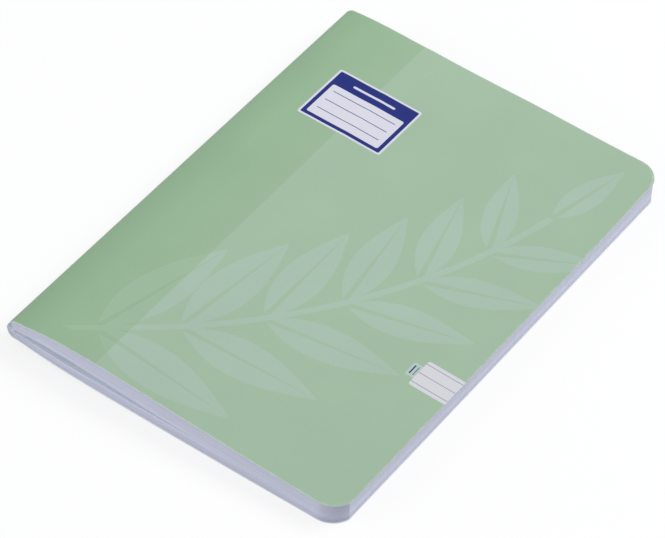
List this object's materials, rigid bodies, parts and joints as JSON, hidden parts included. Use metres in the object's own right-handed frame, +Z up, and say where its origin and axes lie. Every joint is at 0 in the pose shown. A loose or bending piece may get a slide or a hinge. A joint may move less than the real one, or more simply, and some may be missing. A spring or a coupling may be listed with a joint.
{
  "type": "stapled exercise book",
  "caption": "Closed soft-cover exercise book with rounded fore corners, nested folded sheets held by wire staples at the spine, and leaves that turn in groups.",
  "frame": {"origin": "centre of the closed book's outline, on the surface that it lies on", "axes": "+X from the spine to the fore edge, +Y from the bottom end to the top end, +Z up from the back cover to the front cover"},
  "size_m": [0.1482, 0.21, 0.015],
  "materials": {
    "cover": "matte printed card in soft green, with a bare label and a bare ruling window",
    "paper": "uncoated white writing paper with pale ruling",
    "wire": "drawn galvanised staple wire"
  },
  "bodies": {
    "back_cover": {"back_cover": "cover"},
    "last_leaf": {"leaf_60": "paper"},
    "leaves_56_to_59": {"leaf_56": "paper", "leaf_57": "paper", "leaf_58": "paper", "leaf_59": "paper"},
    "leaves_51_to_55": {"leaf_51": "paper", "leaf_52": "paper", "leaf_53": "paper", "leaf_54": "paper", "leaf_55": "paper"},
    "leaves_46_to_50": {"leaf_46": "paper", "leaves_47_48": "paper", "leaf_49": "paper", "leaf_50": "paper"},
    "leaves_41_to_45": {"leaf_41": "paper", "leaf_42": "paper", "leaf_43": "paper", "leaf_44": "paper", "leaf_45": "paper"},
    "leaves_36_to_40": {"leaf_36": "paper", "leaves_37_38": "paper", "leaf_39": "paper", "leaf_40": "paper"},
    "leaves_31_to_35": {"leaf_31": "paper", "leaf_32": "paper", "leaf_33": "paper", "leaf_34": "paper", "leaf_35": "paper", "staple_bottom": "wire", "staple_top": "wire"},
    "leaves_26_to_30": {"leaf_26": "paper", "leaf_27": "paper", "leaf_28": "paper", "leaf_29": "paper", "leaf_30": "paper"},
    "leaves_21_to_25": {"leaf_21": "paper", "leaf_22": "paper", "leaves_23_24": "paper", "leaf_25": "paper"},
    "leaves_16_to_20": {"leaf_16": "paper", "leaf_17": "paper", "leaf_18": "paper", "leaf_19": "paper", "leaf_20": "paper"},
    "leaves_11_to_15": {"leaf_11": "paper", "leaf_12": "paper", "leaves_13_14": "paper", "leaf_15": "paper"},
    "leaves_06_to_10": {"leaf_06": "paper", "leaf_07": "paper", "leaf_08": "paper", "leaf_09": "paper", "leaf_10": "paper"},
    "leaves_02_to_05": {"leaf_02": "paper", "leaf_03": "paper", "leaf_04": "paper", "leaf_05": "paper"},
    "first_leaf": {"leaf_01": "paper"},
    "front_cover": {"front_cover": "cover"}
  },
  "joints": [
    {"name": "open_at_back_cover", "type": "hinge", "parent": "back_cover", "child": "last_leaf", "pos_m": [-0.07387, 0, 0.0075], "axis": [0, -1, 0], "range_deg": [0, 180]},
    {"name": "open_at_last_leaf", "type": "hinge", "parent": "last_leaf", "child": "leaves_56_to_59", "pos_m": [-0.07387, 0, 0.0075], "axis": [0, -1, 0], "range_deg": [0, 180]},
    {"name": "open_after_leaf_55", "type": "hinge", "parent": "leaves_56_to_59", "child": "leaves_51_to_55", "pos_m": [-0.07387, 0, 0.0075], "axis": [0, -1, 0], "range_deg": [0, 180]},
    {"name": "open_after_leaf_50", "type": "hinge", "parent": "leaves_51_to_55", "child": "leaves_46_to_50", "pos_m": [-0.07387, 0, 0.0075], "axis": [0, -1, 0], "range_deg": [0, 180]},
    {"name": "open_after_leaf_45", "type": "hinge", "parent": "leaves_46_to_50", "child": "leaves_41_to_45", "pos_m": [-0.07387, 0, 0.0075], "axis": [0, -1, 0], "range_deg": [0, 180]},
    {"name": "open_after_leaf_40", "type": "hinge", "parent": "leaves_41_to_45", "child": "leaves_36_to_40", "pos_m": [-0.07387, 0, 0.0075], "axis": [0, -1, 0], "range_deg": [0, 180]},
    {"name": "open_after_leaf_35", "type": "hinge", "parent": "leaves_36_to_40", "child": "leaves_31_to_35", "pos_m": [-0.07387, 0, 0.0075], "axis": [0, -1, 0], "range_deg": [0, 180]},
    {"name": "open_at_middle", "type": "hinge", "parent": "leaves_31_to_35", "child": "leaves_26_to_30", "pos_m": [-0.07387, 0, 0.0075], "axis": [0, -1, 0], "range_deg": [0, 180]},
    {"name": "open_after_leaf_25", "type": "hinge", "parent": "leaves_26_to_30", "child": "leaves_21_to_25", "pos_m": [-0.07387, 0, 0.0075], "axis": [0, -1, 0], "range_deg": [0, 180]},
    {"name": "open_after_leaf_20", "type": "hinge", "parent": "leaves_21_to_25", "child": "leaves_16_to_20", "pos_m": [-0.07387, 0, 0.0075], "axis": [0, -1, 0], "range_deg": [0, 180]},
    {"name": "open_after_leaf_15", "type": "hinge", "parent": "leaves_16_to_20", "child": "leaves_11_to_15", "pos_m": [-0.07387, 0, 0.0075], "axis": [0, -1, 0], "range_deg": [0, 180]},
    {"name": "open_after_leaf_10", "type": "hinge", "parent": "leaves_11_to_15", "child": "leaves_06_to_10", "pos_m": [-0.07387, 0, 0.0075], "axis": [0, -1, 0], "range_deg": [0, 180]},
    {"name": "open_after_leaf_05", "type": "hinge", "parent": "leaves_06_to_10", "child": "leaves_02_to_05", "pos_m": [-0.07387, 0, 0.0075], "axis": [0, -1, 0], "range_deg": [0, 180]},
    {"name": "open_after_first_leaf", "type": "hinge", "parent": "leaves_02_to_05", "child": "first_leaf", "pos_m": [-0.07387, 0, 0.0075], "axis": [0, -1, 0], "range_deg": [0, 180]},
    {"name": "open_front_cover", "type": "hinge", "parent": "first_leaf", "child": "front_cover", "pos_m": [-0.07387, 0, 0.0075], "axis": [0, -1, 0], "range_deg": [0, 180]}
  ]
}
